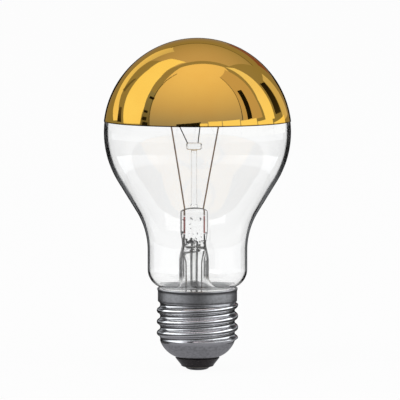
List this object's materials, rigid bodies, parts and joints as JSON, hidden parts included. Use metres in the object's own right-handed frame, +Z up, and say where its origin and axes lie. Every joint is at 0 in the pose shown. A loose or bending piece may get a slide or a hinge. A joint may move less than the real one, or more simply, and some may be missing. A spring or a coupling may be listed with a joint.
{
  "type": "crown mirror bulb",
  "caption": "Clear pear-shaped filament bulb with a gold mirrored crown, a glass stem with leads and supports, and a metal screw cap.",
  "frame": {"origin": "centre of the flat tip of the centre contact, at the bottom of the cap", "axes": "+Z up the lamp's axis from the cap to the crown, +X to the right as the lamp faces the viewer, -Y towards the viewer"},
  "size_m": [0.06, 0.06, 0.1068],
  "materials": {
    "clear_glass": "clear, smooth blown glass",
    "gold_mirror": "gold mirror coat, high gloss",
    "stem_glass": "clear drawn and pressed glass",
    "inner_lead": "drawn brown wire, satin",
    "seal_wire": "red oxidised seal wire, satin",
    "outer_lead": "drawn copper wire, satin",
    "support_wire": "thin dark drawn wire",
    "filament": "coiled dark grey wire, matte",
    "cap_metal": "rolled thin sheet, satin to bright",
    "cement": "baked capping cement, matte",
    "black_glass": "moulded black glass, glossy",
    "contact_metal": "stamped plate, satin",
    "solder": "soft solder, dull and slightly uneven"
  },
  "bodies": {
    "root": {"glass_envelope": "clear_glass", "crown_mirror": "gold_mirror", "stem": "stem_glass", "exhaust_tube": "stem_glass", "arbor_rod": "stem_glass", "inner_lead_left": "inner_lead", "inner_lead_right": "inner_lead", "seal_wire_left": "seal_wire", "seal_wire_right": "seal_wire", "outer_lead_centre": "outer_lead", "outer_lead_side": "outer_lead", "support_wire_left": "support_wire", "support_wire_right": "support_wire", "filament": "filament", "cap_shell": "cap_metal", "cap_cement": "cement", "cap_insulator": "black_glass", "contact_plate": "contact_metal", "centre_solder": "solder", "side_solder": "solder"}
  },
  "joints": []
}
